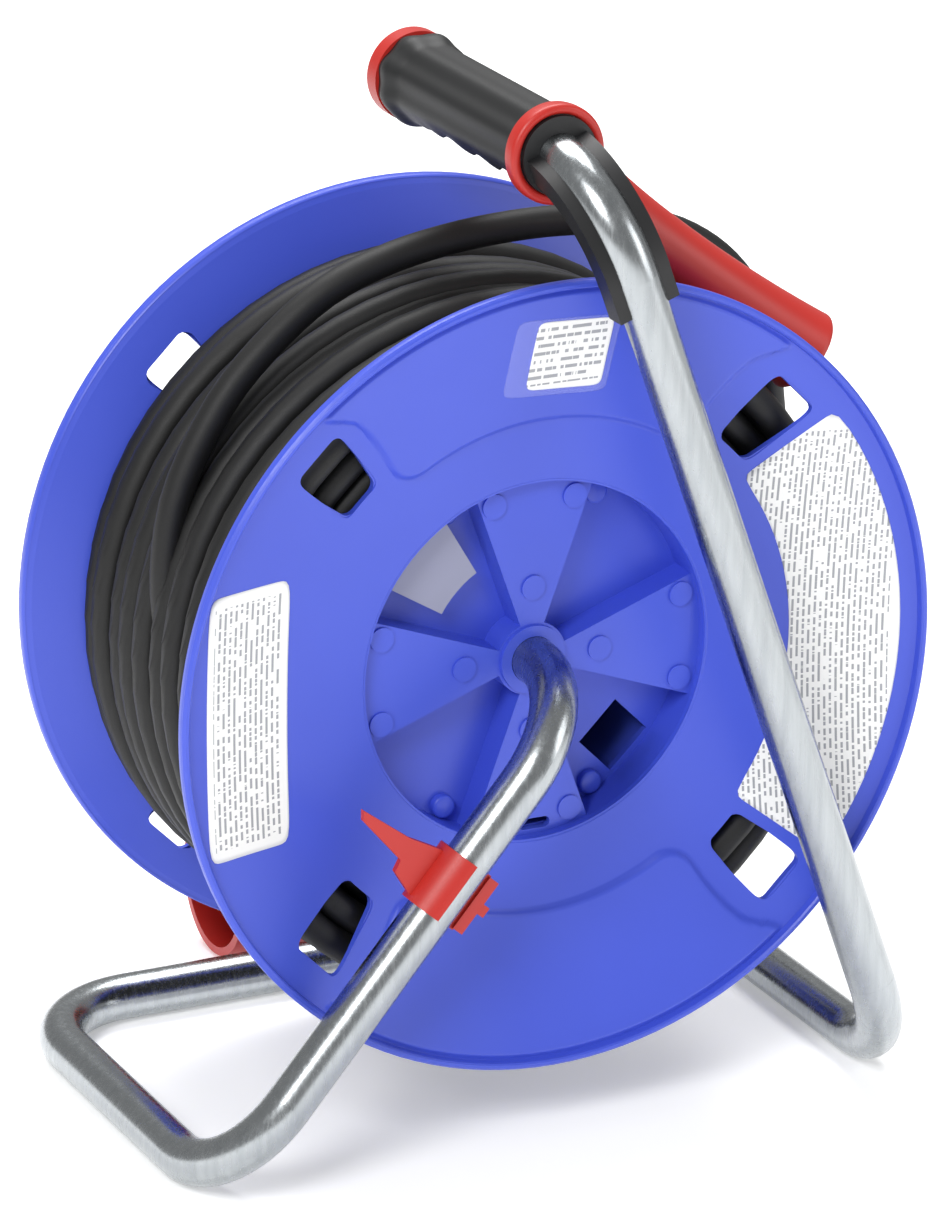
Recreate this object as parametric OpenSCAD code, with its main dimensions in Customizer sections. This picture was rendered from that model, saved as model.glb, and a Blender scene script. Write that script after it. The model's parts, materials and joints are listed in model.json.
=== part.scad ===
// Extension cord reel: a cable drum that turns on one bent steel tube.
// The drum turns about Y, its plain side faces -Y and its sockets face +Y.
// Inside the modules the drum axis is the line x = 0, z = 0 and the plain rim lies at y = 0.
// place() moves the finished pieces so that the reel stands on z = 0 about the origin.

/* [Drum] */
// Radius of both flanges over the rim
drum_r = 145; // [125:1:175]
// Width of the drum over both rims
drum_w = 147.5; // [135:0.5:180]
// Wall of the moulded drum halves
wall = 2.5; // [2:0.1:3.5]
// Height of the rolled rim lip along the axis
rim_h = 5; // [4:0.5:8]
// Radial width of the rolled rim lip
rim_t = 3; // [2:0.5:5]
// Radius of the hub recess in each flange
hub_r = 67.5; // [66:0.5:75]
// Depth from the rim to the edge of the hub recess
hub_depth = 22.5; // [16:0.5:28]
// Depth of the hub pads below the edge of the recess
pad_drop = 4; // [2:0.5:8]
// Depth of the recess floor below the pads
floor_drop = 12; // [8:0.5:18]
// Half angle of one hub pad
pad_angle = 20; // [14:0.5:26]
// Middle radius of the rim windows
window_r = 116; // [112:0.5:118]
// Radial length of the rim windows
window_len = 30; // [20:1:32]

/* [Frame] */
// Outside diameter of the steel tube
tube_d = 17; // [14:0.5:20]
// Wall of the steel tube
tube_wall = 1.5; // [1:0.1:2.5]
// Bend radius on the centre line of the tube
bend_r = 38; // [30:1:44]
// Height of the drum axis over the ground
axle_h = 171; // [165:1:215]
// Distance from the rim to the centre of the leg and the post
leg_gap = 16; // [13:0.5:30]
// Distance from the back rim to the centre of the rear rail
rail_gap = 11; // [10.5:0.5:40]
// Left rail, measured from the axis
left_reach = 137.5; // [110:0.5:175]
// Right rail, measured from the axis
right_reach = 130.5; // [110:0.5:175]
// Handle axis above the drum axis
handle_rise = 185.5; // [182:0.5:225]
// Handle axis to the right of the drum axis
handle_shift = 2; // [0:0.5:8]

/* [Handle] */
// Length of the grip behind its front ring
grip_len = 112.5; // [93:0.5:140]
// Radius of the soft grip sleeve
grip_r = 14.5; // [13.5:0.1:16]
// Radius of the red front ring
ring_r = 17.8; // [17:0.1:20]
// Radius of the grip core
core_r = 12.5; // [11.8:0.1:13]
// Mouth radius of the cable guide
guide_r = 15.5; // [13:0.5:17]

/* [Running fits] */
// Radial clearance of the drum bushes on the axle
axle_clear = 0.08; // [0.02:0.01:0.1]
// Radial clearance of small pins in their bores
pin_clear = 0.05; // [0.02:0.01:0.1]
// Gap between the moving pieces and their neighbours
gap = 0.4; // [0.3:0.05:0.8]

/* [Sockets] */
// Radius of the circle that the earthed sockets sit on
outlet_r = 40; // [39:0.5:41]
// Radius of a socket well, for a round mains plug
well_r = 19.6; // [19.2:0.1:20]
// Depth of a socket well
well_depth = 17.5; // [15:0.5:19]
// Spacing of the two contact holes
contact_pitch = 19; // [18.5:0.1:19.5]
// Radius of one contact hole
contact_r = 2.6; // [2.5:0.05:2.9]
// Distance of the three-phase socket from the axis
phase_r = 35.5; // [35:0.5:36]
// Inside radius of the three-phase collar
collar_r = 27.6; // [27.2:0.1:28]
// How far the three-phase collar stands out of the panel
collar_h = 28; // [22:1:34]
// Travel of the reset button
button_travel = 3; // [2:0.5:4]

/* [Winding knob] */
// Distance of the knob from the drum axis
knob_reach = 88; // [84:0.5:90]
// Radius of the knob
knob_r = 12.5; // [10:0.5:13]
// Length of the knob
knob_len = 42; // [32:1:50]

/* [Cable] */
// Diameter of the rubber cable
cable_d = 11.2; // [9:0.1:11.5]
// Outside radius of the full winding
winding_r = 128; // [110:1:130]

/* [Hidden] */
$fn = 96;
blue = [0.30, 0.36, 0.86];
red = [0.80, 0.16, 0.13];
black = [0.10, 0.10, 0.10];
steel = [0.72, 0.75, 0.76];
brass = [0.80, 0.66, 0.36];
eps = 0.01;

// Frame tube
tube_r = tube_d / 2;
bore_r = tube_r - tube_wall;
leg_y = -leg_gap;
rail_y = drum_w + rail_gap;
base_z = tube_r - axle_h;
sleeve_end = drum_w - hub_depth - 22;
washer_t = 1.5;
clip_t = 1.2;
bush_flange = 1.5;
circlip_y = sleeve_end + bush_flange + 0.3 + washer_t;
axle_end = circlip_y + clip_t + 3;
ring_len = 6;
grip_front = leg_y + bend_r - ring_len;
grip_back = grip_front + ring_len + grip_len;
route = [[0, axle_end, 0], [0, leg_y, 0], [-left_reach, leg_y, base_z],
    [-left_reach, rail_y, base_z], [right_reach, rail_y, base_z], [right_reach, leg_y, base_z],
    [handle_shift, leg_y, handle_rise], [handle_shift, grip_back - 9, handle_rise]];
leg_dir = unit(route[2] - route[1]);
post_dir = unit(route[6] - route[5]);

// Drum
lip_r = drum_r - rim_t;
pad_y = hub_depth + pad_drop;
floor_y = pad_y + floor_drop;
barrel_r = hub_r + 1.5;
barrel_in = barrel_r - wall;
middle_y = drum_w / 2;
sleeve_r = 13.5;
bush_r = 10.5;
bush_len = 12;
dish_steps = 12;
bump_r = 4.5;
bump_h = 0.8;
bump_reach = hub_r - 7;
bump_angle = 15;
bump_inner = 26.5;
window_mid = min(window_r, lip_r - window_len / 2 - 6);
coil_r = min(winding_r, drum_r - 15);
panel_y = drum_w - pad_y;
panel_t = 3;
panel_r = barrel_in - gap;
boss_r = 4;
boss_reach = barrel_in - 4.5;
boss_angles = [62, 118, 242, 298];
screw_r = 1.8;

// Sockets
outlets = [[-outlet_r * cos(30), outlet_r * sin(30)], [outlet_r * cos(30), outlet_r * sin(30)]];
outlet_body_r = well_r + 1.6;
outlet_rim_r = well_r + 3;
outlet_depth = 34;
lid_t = 4;
lid_y = panel_y + 2.5;
lid_pin_r = 1.5;
lid_hinge_z = outlet_rim_r + 3.5;
lid_hinge_y = lid_y + lid_t / 2;
lug_r = 1.2;
phase_at = [0, -phase_r];
phase_body_r = 20.8;
phase_wall = 2.2;
phase_lid_y = panel_y + collar_h + gap;
phase_lid_t = 5;
phase_hinge_z = -phase_r + collar_r + phase_wall + 4.5;
phase_hinge_y = phase_lid_y + phase_lid_t / 2;
phase_pcd_r = 14.5;
cutout_at = [0, 45];
cutout_r = 7.5;
button_r = 4;

// Knob and plug clip
knob_base_y = drum_w - dish(knob_reach) + 6;
knob_pin_r = 4;
knob_head_r = 6.5;
knob_cap_r = 8;
clip_along = 81;
clip_len = 23;
clip_out = 11.5;
clip_open = 78;

// Cable: points of the free stretch, then the plug
tail = [[-98, 74, 93], [-78.9, 74.2, 113.1], [-57.9, 74.3, 128.3], [-34.8, 74.5, 136.9],
    [-10.8, 75.7, 141], [13.3, 77.8, 142.2], [36.4, 80, 141.3], [58.4, 80, 138.8],
    [78.4, 80, 133.3], [94.4, 80, 124.3], [106.4, 80, 112.8], [114.4, 80, 98.8], [119.4, 80, 82.8],
    [121.9, 81, 66.8], [124.7, 82, 49.9], [130.1, 84, 33.2], [134.4, 89, 15.8], [142.4, 98, -0.2],
    [149.2, 106.7, -13.5], [154.1, 118.3, -25.7], [156, 132, -38], [156, 150, -54],
    [150, 166, -74], [141, 179, -96], [129, 189, -117], [113, 197, -134.5], [96, 200, -143],
    [76, 200, -143]];
plug_at = tail[len(tail) - 1];
plug_r = 28;
plug_len = 122;
plug_nut_len = 22;
plug_face = 72;
shroud_r = 26.8;
shroud_floor = 8;

// Where the reel stands: centred on its box, on the ground
front_most = leg_y - clip_out * sin(clip_open);
rear_most = knob_base_y + knob_len + 0.5;
shift = [(left_reach + tube_r - drum_r) / 2, -(front_most + rear_most) / 2, axle_h];

function unit(v) = v / norm(v);
// Depth of the flange's outer face behind its rim at radius r: a shallow, rounded dish.
function dish(r) = let (s = (r - hub_r) / (lip_r - hub_r))
    3.5 + (hub_depth - 3.5) * (1 - s) * (1 + 0.35 * s);
function heading(i) = unit(route[i + 1] - route[i]);
function polar(r, a) = [r * cos(a), r * sin(a)];
// An outline with its corners rounded by arcs of radius r.
function rounded(pts, r, steps = 5) = [for (i = [0 : len(pts) - 1])
    let (p = pts[i], a = unit(pts[(i + len(pts) - 1) % len(pts)] - p),
        b = unit(pts[(i + 1) % len(pts)] - p), half = acos(a * b) / 2,
        centre = p + unit(a + b) * r / sin(half),
        from = p + a * r / tan(half) - centre, to = p + b * r / tan(half) - centre)
    for (k = [0 : steps]) centre + r * unit(from * (1 - k / steps) + to * k / steps)];

// Moves a finished piece from the drum's own frame to where it stands.
module place() {
    translate(shift) children();
}

// Draws children, made along +Z, along +Y at a point of the drum face.
module on_y(at, y) {
    translate([at[0], y, at[1]]) rotate([-90, 0, 0]) children();
}

// Draws a flat outline given in x and z, from y0 to y1.
module slab(pts, y0, y1) {
    translate([0, y1, 0]) rotate([90, 0, 0]) linear_extrude(y1 - y0) polygon(pts);
}

// Turns a profile given as [radius, y] about the drum axis.
module turned(profile) {
    rotate([-90, 0, 0]) rotate_extrude() polygon(profile);
}

// Places a quarter bend at corner v, coming in along a and leaving along b.
module at_bend(v, a, b) {
    c = v + bend_r * (b - a);
    z = cross(-b, a);
    multmatrix([[-b.x, a.x, z.x, c.x], [-b.y, a.y, z.y, c.y], [-b.z, a.z, z.z, c.z],
        [0, 0, 0, 1]]) children();
}

// Straight run i of the tube and all that follows it, drawn along local +Z. Each corner
// is a quarter bend towards local +X, so the next run starts exactly where the bend ends.
// A bend laps over the straights by lap degrees and is thicker by lap_t, as a bent tube is.
lap = 0.2;
lap_t = 0.02;
module run_on(i, r, more) {
    last = len(route) - 2;
    d = heading(i);
    long = norm(route[i + 1] - route[i]) - (i == 0 || i == last ? bend_r : 2 * bend_r);
    low = i == 0 ? more : 0;
    high = i == last ? more : 0;
    translate([0, 0, -low]) cylinder(h = long + low + high, r = r);
    if (i < last) {
        back = i == 0 ? heading(1) : -heading(i - 1);
        next = heading(i + 1);
        turn = atan2(cross(back, next) * d, back * next);
        translate([0, 0, long]) rotate([0, 0, turn]) {
            multmatrix([[-1, 0, 0, bend_r], [0, 0, 1, 0], [0, 1, 0, 0], [0, 0, 0, 1]])
                rotate([0, 0, -lap]) rotate_extrude(angle = 90 + 2 * lap)
                    translate([bend_r, 0]) circle(r = r + lap_t);
            multmatrix([[0, 0, 1, bend_r], [0, 1, 0, 0], [-1, 0, 0, bend_r], [0, 0, 0, 1]])
                run_on(i + 1, r, more);
        }
    }
}

// The whole bent tube as a solid bar of radius r, longer by more at both ends.
module bent_bar(r, more = 0) {
    x = heading(1);
    z = heading(0);
    y = cross(z, x);
    multmatrix([[x.x, y.x, z.x, route[0].x], [x.y, y.y, z.y, route[0].y],
        [x.z, y.z, z.z, route[0].z], [0, 0, 0, 1]]) run_on(0, r, more);
}

module frame_tube() {
    color(steel) place() difference() {
        bent_bar(tube_r);
        bent_bar(bore_r, 1);
        on_y([0, 0], circlip_y) difference() {
            cylinder(h = clip_t, r = tube_r + 1);
            translate([0, 0, -1]) cylinder(h = clip_t + 2, r = tube_r - 0.7);
        }
    }
}

module axle_end_plug() {
    color(black) place() {
        on_y([0, 0], axle_end - 10) cylinder(h = 10, r = bore_r);
        on_y([0, 0], axle_end) cylinder(h = 2, r = tube_r);
    }
}

// A flat ring about the drum axis.
module ring(y, h, r_out, r_in) {
    on_y([0, 0], y) difference() {
        cylinder(h = h, r = r_out);
        translate([0, 0, -1]) cylinder(h = h + 2, r = r_in);
    }
}

module axle_washer() {
    color(steel) place() ring(circlip_y - washer_t, washer_t, sleeve_r, tube_r + 0.2);
}

module axle_circlip() {
    color(steel) place() difference() {
        ring(circlip_y, clip_t, tube_r + 2.5, tube_r - 0.7);
        translate([-2, circlip_y - 1, 0]) cube([4, clip_t + 2, tube_r + 5]);
    }
}

// A flanged plain bearing.
module bush(y, flange_y) {
    ring(y, bush_len, bush_r, tube_r + axle_clear);
    ring(flange_y, bush_flange, bush_r + 2, tube_r + axle_clear);
}

module front_bush() {
    color(blue * 0.8) place() bush(pad_y, pad_y - bush_flange);
}

module rear_bush() {
    color(blue * 0.8) place() bush(sleeve_end - bush_len, sleeve_end);
}

function sector(r_in, r_out, half) = concat(
    [for (a = [-half : half / 6 : half + eps]) polar(r_out, a)],
    [for (a = [half : -half / 3 : -half - eps]) polar(r_in, a)]);

// Corners of one rim window, wide side out.
function window() = rounded([polar(window_mid - window_len / 2, -4.2),
    polar(window_mid + window_len / 2, -5.4), polar(window_mid + window_len / 2, 5.4),
    polar(window_mid - window_len / 2, 4.2)], 4);

module windows() {
    for (a = [45 : 90 : 315]) {
        rotate([0, -a, 0]) slab(window(), -1, hub_depth + 10);
    }
}

// Flange, rolled rim and half of the winding barrel, with the rim at y = 0.
module flange(barrel_to) {
    steps = [for (k = [0 : dish_steps]) hub_r + (lip_r - hub_r) * k / dish_steps];
    front = [for (r = steps) [r, dish(r)]];
    back = [for (k = [dish_steps : -1 : 0]) [steps[k], dish(steps[k]) + wall]];
    turned(concat(front, [[lip_r + 0.4, 0.6], [lip_r + 1, 0], [drum_r - 1, 0], [drum_r, 1],
        [drum_r, rim_h - 1], [drum_r - 1, rim_h]], back));
    turned([[barrel_in, hub_depth], [hub_r, hub_depth - 0.2], [barrel_r, dish(barrel_r) + eps],
        [barrel_r, barrel_to], [barrel_in, barrel_to]]);
}

// One hub pad, with three round bumps on its face.
module pad() {
    slab(sector(sleeve_r - 2, barrel_in + 1, pad_angle), pad_y, floor_y + wall);
    for (a = [-bump_angle, bump_angle]) {
        on_y(polar(bump_reach, a), pad_y - bump_h) cylinder(h = bump_h + 1, r = bump_r);
    }
    on_y([bump_inner, 0], pad_y - bump_h) cylinder(h = bump_h + 1, r = bump_r);
}

// The hollow behind one hub pad, open to the inside of the drum.
module pad_hollow() {
    slope = wall / sin(pad_angle);
    translate([slope, 0, 0])
        slab(sector(sleeve_r, barrel_in - wall - slope, pad_angle), pad_y + wall, floor_y + 2 * wall);
}

// Posts that carry the strain relief.
module strain_posts() {
    for (y = [-strain_pitch, strain_pitch]) {
        in_entry() translate([strain_x, y, floor_y - entry_y])
            cylinder(h = entry_y - 7 - floor_y, r = 3, $fn = 32);
    }
}

module drum_front() {
    color(blue) place() difference() {
        union() {
            flange(middle_y);
            ring(floor_y, wall, barrel_in + 1, sleeve_r - 1);
            for (a = [0 : 90 : 270]) rotate([0, -a, 0]) pad();
            ring(pad_y, sleeve_end - pad_y, sleeve_r, bush_r);
            screw_bosses(floor_y, middle_y);
            strain_posts();
        }
        for (a = [0 : 90 : 270]) rotate([0, -a, 0]) pad_hollow();
        windows();
        // square opening in the lower right floor, and a slot at the foot of the lower pad
        rotate([0, 45, 0])
            slab([[46, -10], [64, -10], [64, 10], [46, 10]], floor_y - 1, floor_y + wall + 1);
        slab(rounded([[-4, -64.5], [8, -64.5], [8, -60.5], [-4, -60.5]], 1.9),
            pad_y - 1, pad_y + wall + 1);
        cable_entry();
        strain_bores();
        screw_holes(floor_y - 1, middle_y + 1);
    }
}

// One small upright cylinder at each angle on a circle of the drum.
module posts(angles, reach, y0, y1, r) {
    for (a = angles) {
        on_y(polar(reach, a), y0) cylinder(h = y1 - y0, r = r, $fn = 32);
    }
}

module screw_bosses(y0, y1) {
    posts(boss_angles, boss_reach, y0, y1, boss_r);
}

module screw_holes(y0, y1) {
    posts(boss_angles, boss_reach, y0, y1, screw_r);
}

// Where the cable passes through the barrel into the drum.
entry_a = 225;
entry_y = 62;
module cable_entry() {
    on_y([0, 0], entry_y) rotate([0, 0, -entry_a]) translate([barrel_in - 8, 0, 0])
        rotate([0, 90, 0]) cylinder(h = 16, r = cable_d / 2 + 0.6);
}

module drum_rear() {
    seat_y = panel_y - panel_t;
    color(blue) place() difference() {
        union() {
            translate([0, drum_w, 0]) mirror([0, 1, 0]) flange(drum_w - middle_y);
            ring(seat_y - wall, wall, barrel_in + 1, barrel_in - 5);
            screw_bosses(middle_y, seat_y - wall);
            knob_boss();
        }
        translate([0, drum_w, 0]) mirror([0, 1, 0]) windows();
        screw_holes(middle_y - 1, middle_y + 14);
        posts(panel_angles, panel_screw_r, seat_y - wall - 1, seat_y + 1, panel_bolt_r);
        on_y([knob_reach, 0], knob_seat_y) cylinder(h = 30, r = knob_pin_r);
    }
}

// Boss of the knob on the outside of the rear flange; its foot follows the dished wall.
knob_seat_y = knob_base_y - 6.4;
module knob_boss() {
    steps = [for (k = [0 : dish_steps]) hub_r + (lip_r - hub_r) * k / dish_steps];
    difference() {
        on_y([knob_reach, 0], knob_base_y - 14) cylinder(h = 14 - gap, r = knob_pin_r + 4);
        turned(concat([for (r = steps) [r, drum_w - dish(r) - wall / 2]],
            [[lip_r, middle_y], [hub_r, middle_y]]));
    }
}

module drum_screws() {
    color(steel) place() {
        posts(boss_angles, boss_reach, floor_y - 2.4, floor_y, 3.4);
        posts(boss_angles, boss_reach, floor_y - 1, middle_y + 11, screw_r);
    }
}

// Grey plate that closes the upper left hub recess.
module hub_cover_plate() {
    color([0.62, 0.62, 0.72]) place() {
        rotate([0, -135, 0]) slab(sector(39, barrel_in - 0.3, 34 - pad_angle), floor_y - 8, floor_y - 6);
        posts([128, 142], 46, floor_y - 7, floor_y, 2);
    }
}

panel_angles = [0, 180, 228, 312];
panel_screw_r = barrel_in - 3;
panel_bolt_r = 1.5;
lid_lug_x = 8.5;
module panel_hole(at, r) {
    on_y(at, panel_y - panel_t - 1) cylinder(h = panel_t + 2, r = r);
}

module socket_panel() {
    color(black) place() difference() {
        on_y([0, 0], panel_y - panel_t) cylinder(h = panel_t, r = panel_r);
        for (c = outlets) panel_hole(c, outlet_body_r);
        panel_hole(phase_at, phase_body_r + 1);
        panel_hole(cutout_at, cutout_r);
        for (a = panel_angles) panel_hole(polar(panel_screw_r, a), panel_bolt_r);
    }
    color(black) place() {
        for (c = outlets) {
            for (x = [-lid_lug_x, lid_lug_x]) {
                hinge_eye([c[0] + x, c[1] + lid_hinge_z], lid_hinge_y, panel_y, 3, lid_pin_r);
            }
        }
    }
}

// A lug on the surface y0 that holds a pin along X at depth y.
module hinge_eye(at, y, y0, w, r) {
    difference() {
        union() {
            translate([at[0] - w / 2, y0 - eps, at[1] - r - lug_r]) cube([w, y - y0, 2 * (r + lug_r)]);
            x_pin(at, y, w / 2, r + lug_r);
        }
        x_pin(at, y, w, r);
    }
}

module panel_screws() {
    color(steel) place() {
        posts(panel_angles, panel_screw_r, panel_y, panel_y + 1.6, 2.8);
        posts(panel_angles, panel_screw_r, panel_y - 8, panel_y, panel_bolt_r);
    }
}

// Round mains socket insert: a well with two contact holes in its floor.
module socket_insert(c) {
    color(black) place() difference() {
        union() {
            on_y(c, panel_y - outlet_depth) cylinder(h = outlet_depth, r = outlet_body_r);
            on_y(c, panel_y) cylinder(h = 2, r = outlet_rim_r);
        }
        on_y(c, panel_y + 2 - well_depth) cylinder(h = well_depth + 1, r = well_r);
        for (x = [-1, 1] * contact_pitch / 2) {
            on_y([c[0] + x, c[1]], panel_y - outlet_depth + 4) cylinder(h = outlet_depth, r = contact_r);
        }
        on_y(c, panel_y - outlet_depth - 1) cylinder(h = 3, r = outlet_body_r - 3);
    }
}

module socket_left() {
    socket_insert(outlets[0]);
}

module socket_right() {
    socket_insert(outlets[1]);
}

// Sprung earth strips on the upper and lower side of each well.
module earth_clips() {
    foot_y = panel_y + 2 - well_depth;
    color(brass) place() {
        for (c = outlets) {
            for (s = [-1, 1]) {
                translate([c[0] - 2, foot_y, c[1] + s * (well_r - 2) - 0.5]) cube([4, well_depth - 3, 1]);
                translate([c[0] - 2, foot_y, c[1] + s * (well_r - 1.45) - 1.05]) cube([4, 1, 2.1]);
            }
        }
    }
}

// Round hinged lid over one socket well.
module lid(c) {
    color(black) place() difference() {
        union() {
            on_y(c, lid_y) cylinder(h = lid_t, r = outlet_rim_r);
            translate([c[0] - 6, lid_y + 0.6, c[1] + outlet_rim_r - 4]) cube([12, lid_t - 1.2, 6]);
            x_pin([c[0], c[1] + lid_hinge_z], lid_hinge_y, 6, lid_pin_r + lug_r);
            translate([c[0] - 5, lid_y, c[1] - outlet_rim_r - 2]) cube([10, lid_t, 5]);
        }
        x_pin([c[0], c[1] + lid_hinge_z], lid_hinge_y, 7, lid_pin_r + pin_clear);
        translate([c[0] - 1.6, lid_y - 3, c[1] + outlet_rim_r + 0.4]) cube([3.2, lid_t + 6, 8]);
    }
}

module lid_left() {
    lid(outlets[0]);
}

module lid_right() {
    lid(outlets[1]);
}

// A cylinder along X, centred over a point of the drum face.
module x_pin(at, y, half, r) {
    translate([at[0] - half, y, at[1]]) rotate([0, 90, 0]) cylinder(h = 2 * half, r = r, $fn = 48);
}

module lid_pins() {
    color(steel) place() {
        for (c = outlets) x_pin([c[0], c[1] + lid_hinge_z], lid_hinge_y, 10, lid_pin_r);
    }
}

// A closed torsion spring drawn as its wound sleeve.
module spring_sleeve(at, y, half, r_in) {
    difference() {
        x_pin(at, y, half, r_in + 0.7);
        x_pin(at, y, half + 1, r_in);
    }
}

module lid_springs() {
    color(steel) place() {
        for (c = outlets) spring_sleeve([c[0], c[1] + lid_hinge_z], lid_hinge_y, 1.3, lid_pin_r);
    }
}

// Three-phase socket: an open collar round a contact carrier.
phase_deep = 20;
phase_pin_r = 2;
function phase_hole(i) = phase_at + polar(phase_pcd_r, 270 + 72 * i);
function phase_hole_r(i) = i == 0 ? 3.7 : 2.7;
module phase_socket() {
    out_r = collar_r + phase_wall;
    color(black) place() difference() {
        union() {
            on_y(phase_at, panel_y) cylinder(h = collar_h, r = out_r);
            on_y(phase_at, panel_y - 34) cylinder(h = 34 + eps, r = phase_body_r);
            for (x = [-9, 9]) {
                hinge_eye([x, phase_hinge_z], phase_hinge_y, phase_hinge_y - 9, 3, phase_pin_r);
                translate([x - 1.5, phase_hinge_y - 12, phase_hinge_z - 8]) cube([3, 6, 11.2]);
            }
        }
        on_y(phase_at, panel_y + 3) difference() {
            cylinder(h = collar_h, r = collar_r);
            translate([0, 0, -1]) cylinder(h = collar_h - 5, r = phase_body_r);
        }
        for (i = [0 : 4]) {
            on_y(phase_hole(i), panel_y - phase_deep)
                cylinder(h = collar_h + phase_deep, r = phase_hole_r(i), $fn = 48);
        }
    }
}

module phase_contacts() {
    color(brass) place() {
        for (i = [0 : 4]) {
            on_y(phase_hole(i), panel_y - phase_deep) difference() {
                cylinder(h = 30, r = phase_hole_r(i), $fn = 48);
                translate([0, 0, 8]) cylinder(h = 30, r = phase_hole_r(i) - 0.5, $fn = 48);
            }
        }
    }
}

module phase_lid() {
    color(red) place() difference() {
        union() {
            on_y(phase_at, phase_lid_y) cylinder(h = phase_lid_t, r = collar_r + phase_wall);
            on_y(phase_at, phase_lid_y - 4) difference() {
                cylinder(h = 5, r = collar_r - gap);
                translate([0, 0, -1]) cylinder(h = 5, r = collar_r - gap - 2);
            }
            translate([-7, phase_lid_y, phase_hinge_z - 8]) cube([14, phase_lid_t, 8]);
            x_pin([0, phase_hinge_z], phase_hinge_y, 7, phase_pin_r + lug_r);
            translate([-6, phase_lid_y, -phase_r - collar_r - phase_wall - 1.5]) cube([12, phase_lid_t, 4]);
        }
        x_pin([0, phase_hinge_z], phase_hinge_y, 8, phase_pin_r + pin_clear);
        translate([-2, phase_lid_y - 5, phase_hinge_z - 3.6]) cube([4, phase_lid_t + 9, 9]);
    }
}

module phase_lid_pin() {
    color(steel) place() x_pin([0, phase_hinge_z], phase_hinge_y, 10.5, phase_pin_r);
}

module phase_lid_spring() {
    color(steel) place() spring_sleeve([0, phase_hinge_z], phase_hinge_y, 1.7, phase_pin_r);
}

// Thermal cut-out: threaded neck through the panel, nut, button and return spring.
module cutout_body() {
    color(black) place() difference() {
        union() {
            on_y(cutout_at, panel_y - panel_t) cylinder(h = panel_t + 6, r = cutout_r);
            translate([cutout_at[0] - 7.5, panel_y - 34, cutout_at[1] - 12]) cube([15, 34 - panel_t, 24]);
        }
        on_y(cutout_at, panel_y - 14) cylinder(h = 30, r = button_r + gap);
    }
}

module cutout_button() {
    color(red) place() on_y(cutout_at, panel_y - 6) cylinder(h = 16, r = button_r);
}

module cutout_spring() {
    color(steel) place() on_y(cutout_at, panel_y - 14) difference() {
        cylinder(h = 8 - button_travel - gap, r = 3.2, $fn = 48);
        translate([0, 0, -1]) cylinder(h = 12, r = 2.4, $fn = 48);
    }
}

module cutout_nut() {
    color(black) place() on_y(cutout_at, panel_y) difference() {
        cylinder(h = 3.5, r = cutout_r + 2.5);
        translate([0, 0, -1]) cylinder(h = 6, r = cutout_r);
    }
}

// Clamp that holds the inner end of the cable against the barrel wall.
module in_entry() {
    on_y([0, 0], entry_y) rotate([0, 0, -entry_a]) translate([barrel_in, 0, 0]) children();
}

strain_x = -9;
strain_pitch = 8;
strain_bolt_r = 1.3;
// Bores for the two clamp screws, from the clamp into its posts.
module strain_bores() {
    for (y = [-strain_pitch, strain_pitch]) {
        in_entry() translate([strain_x, y, -13]) cylinder(h = 21, r = strain_bolt_r, $fn = 32);
    }
}

module strain_relief() {
    color([0.85, 0.85, 0.80]) place() difference() {
        in_entry() translate([-17, -10, -7]) cube([16, 20, 14]);
        in_entry() translate([-20, 0, 0]) rotate([0, 90, 0]) cylinder(h = 30, r = cable_d / 2);
        strain_bores();
    }
}

module strain_screws() {
    color(steel) place() {
        for (y = [-strain_pitch, strain_pitch]) {
            in_entry() translate([strain_x, y, -13]) cylinder(h = 20, r = strain_bolt_r, $fn = 32);
            in_entry() translate([strain_x, y, 7]) cylinder(h = 1.5, r = 2.4, $fn = 32);
        }
    }
}

terminal_z = -50;
terminal_y = floor_y + wall;
lead_r = 1.6;
module terminal_block() {
    color([0.85, 0.85, 0.80]) place() difference() {
        translate([-24, terminal_y, terminal_z - 6]) cube([48, 16, 12]);
        for (i = [-2 : 2]) on_y([i * 9, terminal_z], terminal_y + 5) cylinder(h = 18, r = lead_r, $fn = 32);
    }
}

// Leads that rise from the terminal block towards the sockets.
module inner_leads() {
    color([0.25, 0.45, 0.30]) place() {
        for (i = [-2 : 2]) {
            on_y([i * 9, terminal_z], terminal_y + 6) cylinder(h = 38, r = lead_r, $fn = 32);
        }
    }
}

// Shoulder screw that the knob turns on.
module knob_pin() {
    color(steel) place() on_y([knob_reach, 0], 0) {
        translate([0, 0, knob_seat_y]) cylinder(h = knob_base_y + knob_len - 3 - knob_seat_y, r = knob_pin_r);
        translate([0, 0, knob_base_y + knob_len - 3.6]) cylinder(h = 2, r = knob_head_r);
    }
}

module knob() {
    bore = knob_pin_r + pin_clear;
    color(black) place() on_y([knob_reach, 0], knob_base_y) rotate_extrude()
        polygon([[bore, 0], [knob_r - 3, 0], [knob_r - 3, 3], [knob_r - 2, 8],
            [knob_r - 0.5, knob_len - 12], [knob_r, knob_len - 6], [knob_r - 1, knob_len - 2],
            [knob_r - 3, knob_len], [knob_cap_r, knob_len], [knob_cap_r, knob_len - 4],
            [bore, knob_len - 4]]);
}

module knob_cap() {
    color(steel) place() on_y([knob_reach, 0], knob_base_y + knob_len - 1)
        cylinder(h = 1.5, r = knob_cap_r);
}

// Draws children about the handle axis, made along +Z.
module on_handle(y) {
    translate([handle_shift, y, handle_rise]) rotate([-90, 0, 0]) children();
}

module pipe(h, r_out, r_in) {
    difference() {
        cylinder(h = h, r = r_out);
        translate([0, 0, -1]) cylinder(h = h + 2, r = r_in);
    }
}

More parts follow.
